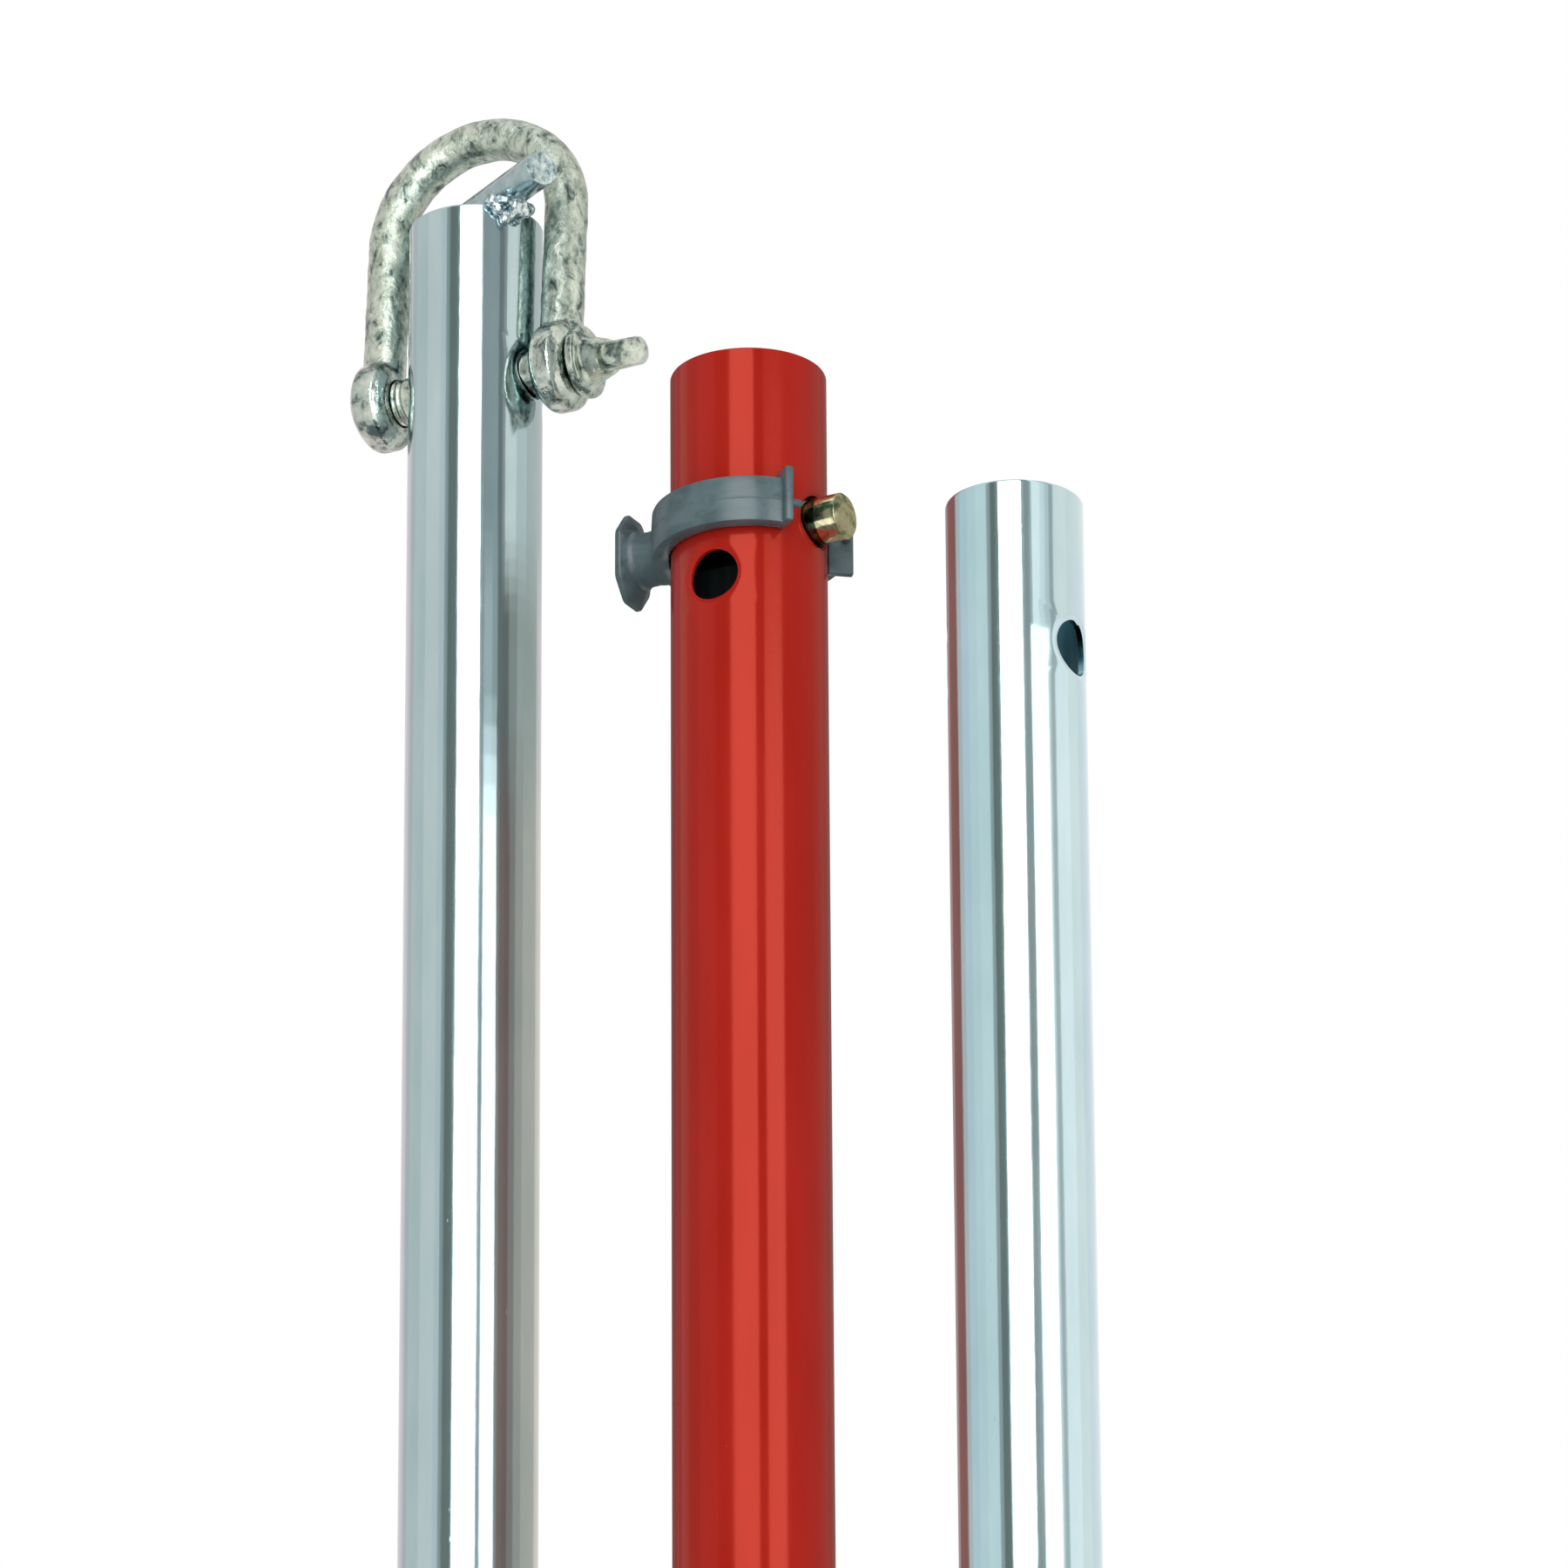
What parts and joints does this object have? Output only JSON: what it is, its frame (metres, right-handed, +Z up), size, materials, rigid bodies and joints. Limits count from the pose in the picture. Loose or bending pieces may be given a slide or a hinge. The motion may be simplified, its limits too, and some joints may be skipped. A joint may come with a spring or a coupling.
{
  "type": "tetherball pole set",
  "caption": "Sectional tetherball pole set: steel top section with rope shackle, red socket tube with push-through lock clips, and a ground tube.",
  "frame": {"origin": "on the surface that the sections stand on, under the middle of the set's box", "axes": "+Z up along the tubes, +X from the top section towards the bottom section, -Y is the front, where the stop bar and lock pins point"},
  "size_m": [0.1824, 0.1195, 1.2333],
  "materials": {
    "zinc_tube": "bright galvanised steel, smooth with faint drawing lines",
    "bar_zinc": "bright zinc-plated round bar",
    "weld": "lumpy bright weld metal",
    "forged_zinc": "rough zinc-plated forging, mottled",
    "pin_zinc": "zinc-plated forged screw pin",
    "red_paint": "glossy red powder coat",
    "grey_plastic": "moulded blue-grey plastic, satin",
    "yellow_zinc": "yellow-passivated zinc with a faint rainbow",
    "black_plastic": "black moulded plastic"
  },
  "bodies": {
    "middle_section": {"middle_tube": "red_paint"},
    "top_section": {"top_tube": "zinc_tube", "stop_bar": "bar_zinc", "stop_bar_weld_front": "weld", "stop_bar_weld_rear": "weld"},
    "shackle": {"shackle_bow": "forged_zinc"},
    "shackle_screw": {"shackle_pin": "pin_zinc"},
    "upper_lock": {"upper_clip_tab": "grey_plastic", "upper_clip_front_arm": "grey_plastic", "upper_clip_rear_arm": "grey_plastic", "upper_lock_pin": "yellow_zinc"},
    "lower_lock": {"lower_clip_tab": "grey_plastic", "lower_clip_front_arm": "grey_plastic", "lower_clip_rear_arm": "grey_plastic", "lower_lock_pin": "yellow_zinc"},
    "bottom_section": {"bottom_tube": "zinc_tube", "bottom_end_plug": "black_plastic"}
  },
  "joints": [
    {"name": "top_section_lift", "type": "slide", "parent": "middle_section", "child": "top_section", "axis": [0, 0, 1], "range_m": [0, 0.1]},
    {"name": "bottom_section_lift", "type": "slide", "parent": "middle_section", "child": "bottom_section", "axis": [0, 0, 1], "range_m": [0, 0.1]},
    {"name": "shackle_swing", "type": "hinge", "parent": "top_section", "child": "shackle", "pos_m": [-0.0589, 0.0307, 1.157], "axis": [0.891, -0.454, 0], "range_deg": [-0.5, 5.5]},
    {"name": "shackle_pin_turn", "type": "hinge", "parent": "shackle", "child": "shackle_screw", "pos_m": [-0.0589, 0.0307, 1.157], "axis": [0.891, -0.454, 0], "continuous": true},
    {"name": "upper_lock_pull", "type": "slide", "parent": "middle_section", "child": "upper_lock", "axis": [-0.8829, 0.4695, 0], "range_m": [0, 0.047], "deforming": ["upper_clip_front_arm", "upper_clip_rear_arm"]},
    {"name": "lower_lock_pull", "type": "slide", "parent": "middle_section", "child": "lower_lock", "axis": [-0.8829, 0.4695, 0], "range_m": [0, 0.047], "deforming": ["lower_clip_front_arm", "lower_clip_rear_arm"]}
  ]
}
